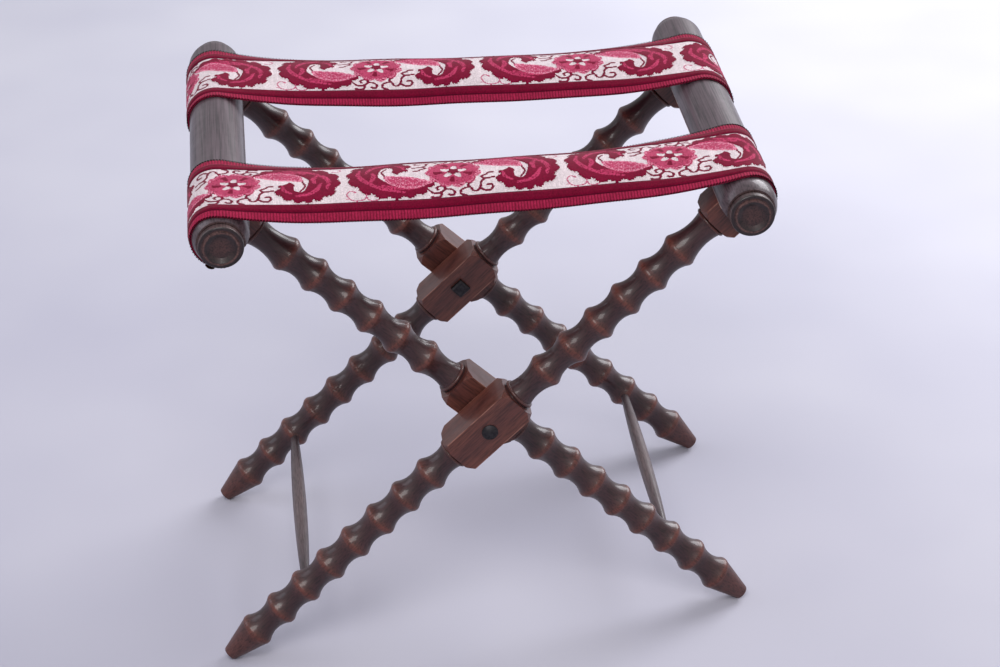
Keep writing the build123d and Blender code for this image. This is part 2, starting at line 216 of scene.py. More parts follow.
@dataclass(frozen=True)
class WaxedWalnut:
    """Walnut, turned or sawn, stained, shellacked and waxed.

    The hollows are made nearly black, partly for the wax and dirt that stay there and partly as
    painted shade, and the high places a warmer red brown, partly where hands have rubbed them back
    and partly as painted light. The grain is fine and dark, and the wax gives a satin gloss.
    """

    name: str
    # The colours by radius paint shade into the hollows and light onto the high places.
    by_radius: tuple[tuple[float, str], ...]    # radius in mm and the colour there
    grain_mm: float = 0.55                       # width of one pore line
    grain_length: float = 13.0                   # times longer along the wood
    figure_mm: float = 4.5                       # width of one band of colour
    uneven_mm: float = 2.4                       # how far the colours wander in and out
    figure_depth: float = 0.36                   # how far the bands of colour differ, 0 to 1
    grain_depth: float = 0.6                     # how far a pore darkens the wood, 0 to 1
    rough: tuple[float, float] = (0.36, 0.54)    # rubbed places, dull places
    arris: tuple[float, float] | None = None     # corner of the section, in mm, that is worn light
    arris_both_ways: bool = True
    foot_from: float | None = None               # distance down the leg, in metres, where the foot starts
    foot_colour: str = "5f3833"
    arris_colour: str = "8a5d4f"

    def material(self, piece: str, bore: Bore) -> bpy.types.Material:
        """Builds the finish for one piece.

        Args:
            piece: The piece's name, which ends the material's name.
            bore: The piece's axes.

        Returns:
            The material.
        """
        material, tree, shader = new_material(f"{self.name}_{piece}")
        seen = add(tree, "ShaderNodeTexCoord")
        turned = add(tree, "ShaderNodeMapping", {"vector_type": "TEXTURE"}, {
            "Vector": seen.outputs["Object"], "Location": bore.origin, "Rotation": bore.turn})
        place = turned.outputs["Vector"]
        parts = add(tree, "ShaderNodeSeparateXYZ", None, {"Vector": place})
        across = add(tree, "ShaderNodeVectorMath", {"operation": "MULTIPLY"},
                     {0: place, 1: (1.0, 1.0, 0.0)})
        radius = add(tree, "ShaderNodeVectorMath", {"operation": "LENGTH"}, {0: across.outputs[0]})

        along = (1.0, 1.0, self.grain_length)
        grain = Patches(self.grain_mm, 4.0, along).over(tree, place)
        figure = Patches(self.figure_mm, 2.0, (1.0, 1.0, 14.0)).over(tree, place)
        patina = Patches(11.0).over(tree, place)

        colour = self._colour_by_radius(tree, radius.outputs["Value"], patina)
        if self.foot_from is not None:
            foot = add(tree, "ShaderNodeMapRange", None, {
                "Value": parts.outputs["Z"], "From Min": -self.foot_from - 2 * MM,
                "From Max": -self.foot_from - 9 * MM})
            colour = add(tree, "ShaderNodeMix", LAID_OVER, {
                MIX_FACTOR: foot.outputs["Result"], MIX_A: colour,
                MIX_B: linear(self.foot_colour)}).outputs[MIX_RESULT]
        bands = add(tree, "ShaderNodeValToRGB", {
            "stops": [(0.3, "8f8a8c"), (0.5, "c2bdbe"), (0.7, "ffffff")]}, {"Fac": figure})
        pores = add(tree, "ShaderNodeValToRGB", {
            "stops": [(0.36, "4a4246"), (0.5, "d8d2d2"), (0.66, "ffffff")]}, {"Fac": grain})
        for depth, layer in ((self.figure_depth, bands), (self.grain_depth, pores)):
            colour = add(tree, "ShaderNodeMix", MULTIPLIED, {
                MIX_FACTOR: depth, MIX_A: colour,
                MIX_B: layer.outputs["Color"]}).outputs[MIX_RESULT]
        if self.arris is not None:
            colour = self._worn_arris(tree, parts, patina, colour)
        tree.links.new(colour, shader.inputs["Base Color"])

        dull = add(tree, "ShaderNodeMapRange", None, {
            "Value": patina, "From Min": 0.35, "From Max": 0.68,
            "To Min": self.rough[0], "To Max": self.rough[1]})
        gloss = add(tree, "ShaderNodeMath", {"operation": "MULTIPLY_ADD"},
                    {0: grain, 1: 0.08, 2: dull.outputs["Result"]})
        tree.links.new(gloss.outputs[0], shader.inputs["Roughness"])
        shader.inputs["IOR"].default_value = 1.5
        shader.inputs["Specular IOR Level"].default_value = 0.34
        shader.inputs["Coat Weight"].default_value = 0.3
        shader.inputs["Coat Roughness"].default_value = 0.13

        tool = Patches(0.7, 1.0, (60.0, 60.0, 1.0)).over(tree, place)
        height = add(tree, "ShaderNodeMath", {"operation": "MULTIPLY_ADD"},
                     {0: tool, 1: 0.35, 2: grain})
        bump = add(tree, "ShaderNodeBump", None, {
            "Height": height.outputs[0], "Strength": 0.32, "Distance": 0.16 * MM})
        tree.links.new(bump.outputs["Normal"], shader.inputs["Normal"])
        return material

    def _colour_by_radius(self, tree: bpy.types.NodeTree, radius: bpy.types.NodeSocket,
                          patina: bpy.types.NodeSocket) -> bpy.types.NodeSocket:
        """Colours the wood by its distance from the turning's axis, a little unevenly: the hollows dark
        with painted shade as well as their wax and dirt, the high places lighter with painted light as
        well as their wear.

        Args:
            tree: The material's tree.
            radius: Distance from the axis, in metres.
            patina: Slow noise that shifts where one colour turns to the next.

        Returns:
            The colour socket.
        """
        low, high = self.by_radius[0][0], self.by_radius[-1][0]
        uneven = add(tree, "ShaderNodeMath", {"operation": "MULTIPLY_ADD"},
                     {0: patina, 1: self.uneven_mm * MM, 2: radius})
        middle = self.uneven_mm / 2
        level = add(tree, "ShaderNodeMapRange", None, {
            "Value": uneven.outputs[0], "From Min": (low + middle) * MM,
            "From Max": (high + middle) * MM})
        stops = [((at - low) / (high - low), colour) for at, colour in self.by_radius]
        return add(tree, "ShaderNodeValToRGB", {"stops": stops},
                   {"Fac": level.outputs["Result"]}).outputs["Color"]

    def _worn_arris(self, tree: bpy.types.NodeTree, parts: bpy.types.Node,
                    patina: bpy.types.NodeSocket, colour: bpy.types.NodeSocket
                    ) -> bpy.types.NodeSocket:
        """Lightens the long corners of a squared section, where the finish has rubbed through.

        Args:
            tree: The material's tree.
            parts: The place in the section, split into X, Y and Z.
            patina: Slow noise that breaks the worn line up.
            colour: The wood's colour so far.

        Returns:
            The colour socket with the worn corners in it.
        """
        sideways = add(tree, "ShaderNodeMath", {"operation": "ABSOLUTE"}, {0: parts.outputs["Y"]})
        upward = parts.outputs["X"]
        if self.arris_both_ways:
            upward = add(tree, "ShaderNodeMath", {"operation": "ABSOLUTE"}, {0: upward}).outputs[0]
        spot = add(tree, "ShaderNodeCombineXYZ", None, {"X": upward, "Y": sideways.outputs[0]})
        corner = (self.arris[0] * MM, self.arris[1] * MM, 0.0)
        gap = add(tree, "ShaderNodeVectorMath", {"operation": "DISTANCE"},
                  {0: spot.outputs[0], 1: corner})
        worn = add(tree, "ShaderNodeMapRange", None, {
            "Value": gap.outputs["Value"], "From Min": 0.95 * MM, "From Max": 0.35 * MM})
        broken = add(tree, "ShaderNodeMapRange", None, {
            "Value": patina, "From Min": 0.38, "From Max": 0.56})
        shown = add(tree, "ShaderNodeMath", {"operation": "MULTIPLY"},
                    {0: worn.outputs["Result"], 1: broken.outputs["Result"]})
        return add(tree, "ShaderNodeMix", LAID_OVER, {
            MIX_FACTOR: shown.outputs[0], MIX_A: colour,
            MIX_B: linear(self.arris_colour)}).outputs[MIX_RESULT]


# Leg colours by radius: darkest in the coves (11.4 to 13.6 mm), painted shade over the wax and dirt held
# there; lightest red brown at the crests (16.4 mm), rubbed wear with painted light.
TURNED_LEG = WaxedWalnut(
    name="waxed_walnut_leg",
    by_radius=((9.0, "4c2c29"), (11.4, "3c2427"), (13.6, "46292a"), (15.4, "57322d"),
               (16.4, "6d3b32"), (17.4, "5c312b"), (21.0, "66382e"), (26.0, "6c3c31")),
    arris=(18.0, 18.0), foot_from=0.3035)

# Rail colours by radius: near black in the grooves (13.2 and 18.6 mm), painted shade over the wax and
# dirt held there; lighter on the rings and the body.
TURNED_RAIL = WaxedWalnut(
    name="waxed_walnut_rail",
    by_radius=((5.0, "4b2f2d"), (10.0, "3a2526"), (13.2, "2a1b1e"), (14.6, "6a4a45"),
               (16.6, "3a282b"), (18.6, "1f1518"), (19.6, "5d4746"), (21.5, "4f4045"),
               (26.0, "5b4d54")),
    grain_mm=0.75, grain_length=42.0, figure_mm=3.6, grain_depth=0.72, rough=(0.38, 0.54),
    arris=(-17.35, 18.0), arris_both_ways=False, arris_colour="b39a92")

TAPERED_ROD = WaxedWalnut(
    name="dull_walnut_rod",
    by_radius=((3.0, "3f3233"), (5.0, "54464a"), (7.0, "6a5a5b")),
    grain_mm=0.45, rough=(0.42, 0.6))


# ---------------------------------------------------------------- metal
@dataclass(frozen=True)
class OldMetal:
    """Forged or stamped metal, handled for a century: dull, mottled and pitted.

    Dark scale lies in the hollows and the bare metal shows where it is rubbed, so highlights break up.
    """

    name: str
    bare: str
    scale: str
    patch_mm: float
    rough: tuple[float, float]
    pit_depth_mm: float

    def material(self) -> bpy.types.Material:
        """Builds the finish and returns the material."""
        material, tree, shader = new_material(self.name)
        place = add(tree, "ShaderNodeTexCoord").outputs["Object"]
        mottle = Patches(self.patch_mm, 5.0).over(tree, place)
        pits = Patches(self.patch_mm / 4).over(tree, place)
        colour = add(tree, "ShaderNodeValToRGB",
                     {"stops": [(0.36, self.scale), (0.62, self.bare)]}, {"Fac": mottle})
        tree.links.new(colour.outputs["Color"], shader.inputs["Base Color"])
        dull = add(tree, "ShaderNodeMapRange", None, {
            "Value": mottle, "From Min": 0.35, "From Max": 0.65,
            "To Min": self.rough[1], "To Max": self.rough[0]})
        tree.links.new(dull.outputs["Result"], shader.inputs["Roughness"])
        shader.inputs["Metallic"].default_value = 1.0
        bump = add(tree, "ShaderNodeBump", None, {
            "Height": pits, "Strength": 0.5, "Distance": self.pit_depth_mm * MM})
        tree.links.new(bump.outputs["Normal"], shader.inputs["Normal"])
        return material


WROUGHT_IRON = OldMetal("blackened_wrought_iron", "403e40", "333134", 1.6, (0.46, 0.56), 0.04)
TACK_BRASS = OldMetal("tarnished_tack_brass", "6e5a3c", "3a2d1e", 0.9, (0.4, 0.56), 0.03)


# ---------------------------------------------------------------- the loom's card
class Yarn(IntEnum):
    """Yarn that shows in one cell of the webbing."""

    GROUND = 0
    CRIMSON = 1
    VEIN = 2
    ROSE = 3
    BLUSH = 4
    TENDRIL = 5
    FADED = 6
    BAND = 7
    CORD = 8
    EDGE = 9

    @property
    def colour(self) -> str:
        """The yarn's dyed colour, as sRGB hex."""
        return YARN_COLOURS[self]

    @property
    def raised(self) -> bool:
        """Whether this yarn is cut pile, which stands above the ground weave."""
        return self in (Yarn.CRIMSON, Yarn.VEIN, Yarn.ROSE, Yarn.BAND)


YARN_COLOURS = {
    Yarn.GROUND: "e8dadd", Yarn.CRIMSON: "7e0430", Yarn.VEIN: "c23a64", Yarn.ROSE: "bd4468",
    Yarn.BLUSH: "e892ab", Yarn.TENDRIL: "7a1836", Yarn.FADED: "c4607f", Yarn.BAND: "74022a",
    Yarn.CORD: "a8254a", Yarn.EDGE: "5a0524"}


@dataclass(frozen=True)
class BrushStroke:
    """A tapering stroke of one yarn: (along, across, half width) points in mm, drawn as a smooth line.

    Places are from the middle of a flower, across is towards the strap's back edge.
    """

    yarn: Yarn
    points: tuple[tuple[float, float, float], ...]
    lobes: int = 0              # scallops along the stroke's outer side
    lobe_depth: float = 0.0

    STEPS = 7                   # straight pieces between two points

    def line(self) -> np.ndarray:
        """Follows the points with a smooth line (Catmull-Rom).

        Returns:
            Array of (along, across, half width) rows.
        """
        ends = np.array([self.points[0], *self.points, self.points[-1]], float)
        share = np.linspace(0, 1, self.STEPS, endpoint=False)[:, None]
        pieces = []
        for a, b, c, d in zip(ends, ends[1:], ends[2:], ends[3:]):
            pieces.append(0.5 * (2 * b + (c - a) * share + (2 * a - 5 * b + 4 * c - d) * share**2
                                 + (3 * b - a - 3 * c + d) * share**3))
        return np.vstack([*pieces, ends[-1:]])

    def depth(self, x: np.ndarray, y: np.ndarray) -> np.ndarray:
        """Measures how deep in the stroke each place lies.

        Args:
            x: Places along the strap, in mm from the flower.
            y: Places across it.

        Returns:
            Depth in mm, negative outside the stroke.
        """
        line = self.line()
        best = np.full(x.shape, -1e3)
        place = np.zeros(x.shape)
        outer = np.zeros(x.shape, bool)
        count = len(line) - 1
        for number, (start, end) in enumerate(zip(line, line[1:])):
            run = end[:2] - start[:2]
            length2 = max(float(run @ run), 1e-9)
            share = np.clip(((x - start[0]) * run[0] + (y - start[1]) * run[1]) / length2, 0, 1)
            dx, dy = x - start[0] - share * run[0], y - start[1] - share * run[1]
            width = start[2] + share * (end[2] - start[2])
            depth = width - np.hypot(dx, dy)
            closer = depth > best
            best = np.where(closer, depth, best)
            place = np.where(closer, (number + share) / count, place)
            outer = np.where(closer, run[0] * dy < run[1] * dx, outer)
        notch = 1 - np.abs(np.sin(math.pi * self.lobes * place))
        return best - outer * self.lobe_depth * notch


ACANTHUS = (
    BrushStroke(Yarn.CRIMSON, ((-46, 7, 6.5), (-44, 19, 8.5), (-54, 26, 8.2), (-66, 24.5, 9.4),
                               (-76, 14, 13.5), (-78.5, -4, 13.8), (-67, -20, 12.0), (-49, -26.5, 8.2),
                               (-31, -25, 6.2), (-17, -16, 1.4)), lobes=15, lobe_depth=3.4),
    BrushStroke(Yarn.VEIN, ((-44, -27, 1.2), (-63, -21, 2.0), (-76, -10, 2.3), (-82, 3, 2.1),
                            (-80, 15, 1.3))),
    BrushStroke(Yarn.VEIN, ((-75, 6, 1.2), (-72, 15, 2.1), (-65, 22, 2.0), (-54, 25, 1.3))),
    BrushStroke(Yarn.VEIN, ((-42, 9, 1.1), (-43.5, 16, 1.7), (-49, 21, 1.1))),
    BrushStroke(Yarn.VEIN, ((-72, -10, 1.3), (-69, -2, 2.3), (-70, 5, 1.6))),
    BrushStroke(Yarn.VEIN, ((-62, -17, 1.4), (-54, -20, 1.9), (-40, -22.5, 1.6), (-30, -21, 1.0))),
    BrushStroke(Yarn.ROSE, ((-58, -2, 2.4), (-52, -8.5, 7.2), (-42, -12.5, 9.2), (-32, -14.5, 6.8),
                            (-21, -14.5, 1.8))),
    BrushStroke(Yarn.TENDRIL, ((-59.5, 0, 0.6), (-61.5, 9, 0.7), (-57, 17, 0.6))),
)

TENDRILS = (
    BrushStroke(Yarn.TENDRIL, ((-23, -25, 0.7), (-19, -29, 0.8), (-13, -28.5, 0.8), (-9, -24, 0.8),
                               (-12, -21, 0.8), (-16, -22, 0.8), (-15.5, -25.5, 0.8))),
    BrushStroke(Yarn.TENDRIL, ((-13, -28.5, 0.8), (-13, -32.5, 0.8), (-16.5, -35, 0.9),
                               (-21, -33.5, 1.1))),
    BrushStroke(Yarn.TENDRIL, ((-9, -25, 0.8), (-4, -26, 0.8), (-1, -29.5, 0.8), (-3, -33, 0.9),
                               (-6.5, -32, 0.9))),
    BrushStroke(Yarn.TENDRIL, ((8, -34.5, 1.1), (4, -32.5, 0.8), (4.5, -28, 0.8), (9, -25.5, 0.8),
                               (12.5, -25.5, 0.8), (15, -30, 0.8), (19, -30, 0.8), (21.5, -25, 0.8),
                               (22.5, -19.5, 0.8), (26, -16, 0.9), (34, -14.5, 0.9))),
    BrushStroke(Yarn.TENDRIL, ((12, -25, 0.8), (11, -21.5, 0.8), (14, -19, 0.9))),
    BrushStroke(Yarn.TENDRIL, ((21, -27, 0.8), (24, -30.5, 0.8), (29, -31, 0.8), (32, -27.5, 0.8),
                               (30.5, -24, 0.8), (27.5, -24.5, 0.9))),
    BrushStroke(Yarn.TENDRIL, ((26, -16, 0.8), (23.5, -12, 0.9), (27.5, -9.5, 0.8), (30, -7, 0.9),
                               (33.5, -6.5, 1.0))),
    BrushStroke(Yarn.FADED, ((-86, -23, 0.7), (-89.5, -20.5, 0.6), (-93.5, -24.5, 0.6),
                             (-91.5, -31, 0.6), (-85.5, -34, 0.6), (-78.5, -32, 0.6),
                             (-76.5, -27, 0.6))),
    BrushStroke(Yarn.FADED, ((-77, -28, 0.6), (-75.5, -33, 0.6), (-71, -34.5, 0.6),
                             (-66.5, -33, 0.6), (-68, -29.5, 0.7))),
    BrushStroke(Yarn.FADED, ((-92, -31, 0.6), (-97, -31.5, 0.7), (-101, -34, 0.7))),
)


@dataclass(frozen=True)
class Rosette:
    """The scalloped flower between two leaves: petals, five dark flecks, a pale star and an eye."""

    radius: float = 24.6
    scallops: int = 11
    scallop_depth: float = 3.0
    arms: int = 5
    arm_turn: float = math.radians(10)

    def paint(self, card: np.ndarray, x: np.ndarray, y: np.ndarray) -> None:
        """Draws the flower on a card.

        Args:
            card: Yarn of each cell, changed in place.
            x: Places along the strap, in mm from the flower.
            y: Places across it.
        """
        far, turn = np.hypot(x, y), np.arctan2(y, x)
        rim = self.radius - self.scallop_depth * (1 - np.abs(np.sin(self.scallops * turn / 2)))
        card[far < rim] = Yarn.ROSE
        wave = np.cos(self.arms * (turn - self.arm_turn))
        card[(far > 9.5) & (far < 17.5) & (wave < -0.72)] = Yarn.CRIMSON
        card[far < 8.2 + 3.6 * wave] = Yarn.GROUND
        card[far < 4.9 - 0.7 * wave] = Yarn.CRIMSON


@dataclass(frozen=True)
class LoomCard:
    """One repeat of the scroll pattern, yarn by yarn, as a loom's cards hold it.

    Each half of the repeat is the other half turned about the flower's middle.
    """

    repeat: float = 190.0       # from flower to flower, mm
    ground: float = 70.0        # width of the patterned ground, mm
    columns: int = 216          # cells in one repeat
    rows: int = 80
    blush_depth: float = 2.8    # pale hatching along the rose petals' edges, mm
    swell: float = 0.35         # how much a tendril's floats spread past its line, mm
    seed: int = 7

    @property
    def cell(self) -> float:
        """Length of one cell along the strap, in mm."""
        return self.repeat / self.columns

    def cells(self) -> np.ndarray:
        """Draws the repeat.

        Returns:
            Yarn of each cell, by row across the strap and column along it, from half a repeat
            before the flower.
        """
        along = (np.arange(self.columns) + 0.5) * self.cell - self.repeat / 2
        across = (np.arange(self.rows) + 0.5) * self.ground / self.rows - self.ground / 2
        x, y = np.meshgrid(along, across)
        card = np.full(x.shape, int(Yarn.GROUND))
        hatch = np.random.default_rng(self.seed).random(x.shape)
        for strokes in (TENDRILS, ACANTHUS):
            for stroke in strokes:
                self._paint_stroke(card, x, y, stroke, hatch)
                self._paint_stroke(card, -x, -y, stroke, hatch)
            if strokes is TENDRILS:
                self._hatch_rim(card, x, y, hatch)
        return card

    def _hatch_rim(self, card: np.ndarray, x: np.ndarray, y: np.ndarray, hatch: np.ndarray) -> None:
        """Draws the flower and breaks its rim up with pale hatching.

        Args:
            card: Yarn of each cell, changed in place.
            x: Places along the strap, in mm from the flower.
            y: Places across it.
            hatch: Random number of each cell, from 0 to 1.
        """
        flower = Rosette()
        flower.paint(card, x, y)
        far = np.hypot(x, y)
        petals = card == Yarn.ROSE
        card[petals & (far > flower.radius - 4.5) & (hatch > 0.66)] = Yarn.BLUSH
        card[petals & (hatch < 0.07)] = Yarn.CRIMSON

    def _paint_stroke(self, card: np.ndarray, x: np.ndarray, y: np.ndarray, stroke: BrushStroke,
                      hatch: np.ndarray) -> None:
        """Draws one stroke, with pale hatching along a rose petal's edge.

        Args:
            card: Yarn of each cell, changed in place.
            x: Places along the strap, in mm from the flower.
            y: Places across it.
            stroke: The stroke.
            hatch: Random number of each cell, from 0 to 1.
        """
        depth = stroke.depth(x, y)
        inside = depth > (-self.swell if stroke.yarn is Yarn.TENDRIL else 0)
        if stroke.yarn is Yarn.VEIN:
            inside &= hatch > 0.2
        card[inside] = stroke.yarn
        if stroke.yarn is Yarn.ROSE:
            card[(depth > 0) & (depth < self.blush_depth) & (hatch > 0.35)] = Yarn.BLUSH
            card[(depth >= self.blush_depth) & (hatch > 0.86)] = Yarn.BLUSH


# ---------------------------------------------------------------- textile finishes
@dataclass(frozen=True)
class WovenYarn:
    """Yarn in the webbing, coloured by the card, as cotton ground or as cut wool pile.

    The ground is plain-woven cotton, matt, with its threads just showing through small bumps and painted
    shade in the gaps between them. The pile is cut velvet: deep where it is looked into, and pale at
    grazing angles, where its fibres' sides catch the light.
    """

    name: str
    rough: float
    sheen: float
    sheen_tint: str
    thread_mm: float
    # How strongly the painted shade between threads and the wandering of the yarn's colour show, 0 to 1.
    thread_shade_and_wander: float                 # how much the yarn's colour wanders, 0 to 1

    def material(self) -> bpy.types.Material:
        """Builds the finish.

        Returns:
            The material, which reads the mesh's yarn and shade attributes and its UV map.
        """
        material, tree, shader = new_material(self.name)
        yarn = add(tree, "ShaderNodeAttribute", {"attribute_name": "yarn"})
        shade = add(tree, "ShaderNodeAttribute", {"attribute_name": "shade"})
        level = add(tree, "ShaderNodeMath", {"operation": "DIVIDE"},
                    {0: yarn.outputs["Fac"], 1: float(len(Yarn))})
        stops = [(max(0.0, (kind - 0.5) / len(Yarn)), kind.colour) for kind in Yarn]
        dyed = add(tree, "ShaderNodeValToRGB", {"stops": stops}, {"Fac": level.outputs[0]})
        dyed.color_ramp.interpolation = "CONSTANT"
        place = add(tree, "ShaderNodeUVMap", {"uv_map": "cloth"}).outputs["UV"]
        thread = Patches(self.thread_mm, 2.0).over(tree, place)
        wander = Patches(9.0).over(tree, place)
        # Painted shade: the low places of the thread bumps, between the threads, are darkened.
        painted_thread_gap_shade = add(tree, "ShaderNodeValToRGB",
                   {"stops": [(0.3, "6f6a6c"), (0.7, "ffffff")]}, {"Fac": thread})
        fading = add(tree, "ShaderNodeValToRGB",
                     {"stops": [(0.35, "a9a2a5"), (0.62, "ffffff")]}, {"Fac": wander})
        colour = dyed.outputs["Color"]
        for depth, layer in ((self.thread_shade_and_wander, painted_thread_gap_shade), (self.thread_shade_and_wander * 0.6, fading), (1.0, shade)):
            colour = add(tree, "ShaderNodeMix", MULTIPLIED, {
                MIX_FACTOR: depth, MIX_A: colour,
                MIX_B: layer.outputs["Color"]}).outputs[MIX_RESULT]
        tree.links.new(colour, shader.inputs["Base Color"])
        shader.inputs["Roughness"].default_value = self.rough
        shader.inputs["Specular IOR Level"].default_value = 0.06
        shader.inputs["Sheen Weight"].default_value = self.sheen
        shader.inputs["Sheen Roughness"].default_value = 0.38
        shader.inputs["Sheen Tint"].default_value = linear(self.sheen_tint)
        bump = add(tree, "ShaderNodeBump", None, {
            "Height": thread, "Strength": 0.45, "Distance": 0.25 * MM})
        tree.links.new(bump.outputs["Normal"], shader.inputs["Normal"])
        return material


COTTON_GROUND = WovenYarn("plain_woven_cotton", 0.86, 0.12, "f4eef1", 0.45, 0.30)
CUT_VELVET = WovenYarn("cut_wool_velvet", 0.95, 0.09, "e2557f", 0.6, 0.9)


# ---------------------------------------------------------------- straps
@dataclass(frozen=True)
class StrapLie:
    """How one strap lies on the stand."""

    place: str                  # front or back
    first_flower: float         # a flower's place along the strap from its middle, mm
    tuck: float                 # how far back it lies on the rails' outer sides, mm
    seed: int


@dataclass
class VelvetStrap:
    """One webbing strap: tacked under the left rail, over both rails and tacked under the right.

    Between the rails it hangs nearly straight along its middle, but its edges are slack and droop,
    so the cloth is crowned. Sizes are in mm.
    """

    plan: StandPlan
    lie: StrapLie
    card: LoomCard = field(default_factory=LoomCard)
    band_width: float = 11.0
    band_rows: int = 9
    cord_width: float = 8.0
    cord_rows: int = 6
    lift: float = 0.5           # underside, from the rail
    weave: float = 1.3          # thickness of the ground weave
    pile: float = 1.0
    rib: float = 0.55           # relief of the cords in the outer band
    rib_columns: int = 3        # columns from one cord of the outer band to the next
    sag: float = 1.5            # middle of the strap, half-way between the rails
    droop: float = 15.0         # edges below the middle, half-way between the rails
    droop_power: float = 1.9    # how the droop grows across the strap
    span_power: float = 3.4     # how it grows along the strap
    ripple: float = 0.5         # slackness along the span
    small_ripple: float = 0.35
    end_angle: float = 84.0     # how far round under the rail it ends, below the rail's outer side
    ease: float = 3.8           # how far it closes on the rails' tapered ends
    taper: float = 25.0         # from a rail's end to the start of its taper
    taper_run: float = 15.0     # length of the taper
    flat: tuple[float, float] = field(init=False)   # width and length of the flat cloth, in metres
    edges: np.ndarray = field(init=False)       # points of the two long edges
    base: np.ndarray = field(init=False)        # the ground weave's face
    normals: np.ndarray = field(init=False)
    middle_y: float = field(init=False)
    skew: float = field(init=False)     # how much further back it lies on the right rail

    def build(self, ground: bpy.types.Material, velvet: bpy.types.Material) -> bpy.types.Object:
        """Weaves the strap and puts it on the stand.

        Args:
            ground: Finish of the flat weave.
            velvet: Finish of the cut pile.

        Returns:
            The strap.
        """
        low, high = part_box(f"{self.lie.place}_strap")
        self.skew = self._skew()
        self.middle_y = (low.y + high.y) / 2 / MM
        across, kinds = self._rows()
        along = self._columns()
        yarn = self._yarns(along, kinds)
        top = self._surface(along, across, yarn)
        strap = self._mesh(along, across, yarn, top)
        dress(strap, ground, velvet)
        self.hold(strap)
        log.info("%s strap: %d cells, %.0f x %.0f mm flat", self.lie.place, yarn.size,
                 2 * self.half_width, along[-1] - along[0])
        self.flat = (2 * self.half_width * MM, float(along[-1] - along[0]) * MM)
        self.edges = top[:, [0, -1]]
        return strap

    @property
    def half_width(self) -> float:
        """Half of the strap's whole width, in mm."""
        return self.card.ground / 2 + self.band_width + self.cord_width

    def _skew(self) -> float:
        """Finds how much further back the CAD solid's right end lies than its left end, in mm.

        Returns:
            The skew.
        """
        solid = frame["nodes"][f"{self.lie.place}_strap"].data
        points = np.array([v.co for v in solid.vertices]) / MM
        reach = self.plan.rail_x / MM
        left = points[points[:, 0] < -reach, 1]
        right = points[points[:, 0] > reach, 1]
        return float((right.min() + right.max() - left.min() - left.max()) / 2)

    def _rows(self) -> tuple[np.ndarray, np.ndarray]:
        """Sets out the cells across the strap.

        Returns:
            Edges of the rows from front to back, in mm from the middle, and each row's kind: a row of
            the card, or a Yarn below 0 as its negative.
        """
        half_ground = self.card.ground / 2
        band = np.linspace(half_ground, half_ground + self.band_width, self.band_rows + 1)
        cord = np.linspace(band[-1], self.half_width, self.cord_rows + 1)
        side = np.concatenate([band[1:], cord[1:]])
        inner = np.linspace(-half_ground, half_ground, self.card.rows + 1)
        edges = np.concatenate([-side[::-1], inner, side])
        outward = [Yarn.EDGE] + [Yarn.BAND] * (self.band_rows - 2) + [Yarn.EDGE] \
            + [Yarn.CORD] * self.cord_rows
        kinds = [-int(k) for k in reversed(outward)] + list(range(self.card.rows)) \
            + [-int(k) for k in outward]
        return edges, np.array(kinds)

    def _columns(self) -> np.ndarray:
        """Sets out the cells along the strap.

        Returns:
            Edges of the columns, in mm from the strap's middle.
        """
        radius = self.plan.rail_radius / MM + self.lift + self.weave
        half = self.plan.rail_x / MM + radius * math.radians(90 + self.end_angle)
        count = round(half / self.card.cell)
        return np.arange(-count, count + 1) * self.card.cell

    def _yarns(self, along: np.ndarray, kinds: np.ndarray) -> np.ndarray:
        """Reads the card for every cell.

        Args:
            along: Edges of the columns.
            kinds: Kind of each row.

        Returns:
            Yarn of each cell, by column and row.
        """
        card = self.card.cells()
        first = self.lie.first_flower - self.card.repeat / 2
        column = np.floor(((along[:-1] + self.card.cell / 2 - first) / self.card.cell)).astype(int)
        column %= self.card.columns
        yarn = np.empty((len(column), len(kinds)), int)
        for row, kind in enumerate(kinds):
            yarn[:, row] = card[kind, column] if kind >= 0 else -kind
        return yarn

    def _surface(self, along: np.ndarray, across: np.ndarray, yarn: np.ndarray) -> np.ndarray:
        """Places every corner of the face side, with the pile and the cords raised.

        Args:
            along: Edges of the columns.
            across: Edges of the rows.
            yarn: Yarn of each cell.

        Returns:
            Positions in mm, by column and row.
        """
        base = self._cloth(along, across)
        self.normals = self._normals(base)
        raised = np.isin(yarn, [int(k) for k in Yarn if k.raised]).astype(float)
        corners = np.pad(raised, 1, mode="edge")
        height = self.pile * (corners[:-1, :-1] + corners[1:, :-1] + corners[:-1, 1:]
                              + corners[1:, 1:]) / 4
        wander = np.random.default_rng(self.lie.seed).normal(0, 0.05, height.shape)
        height = height + wander * (height > 0)
        corded = np.abs(across) > self.half_width - self.cord_width + 0.1
        crests = np.where(np.arange(len(along)) % self.rib_columns, self.rib / 2, -self.rib / 2)
        height[:, corded] += crests[:, None]
        self.base = base
        return base + self.normals * height[..., None]

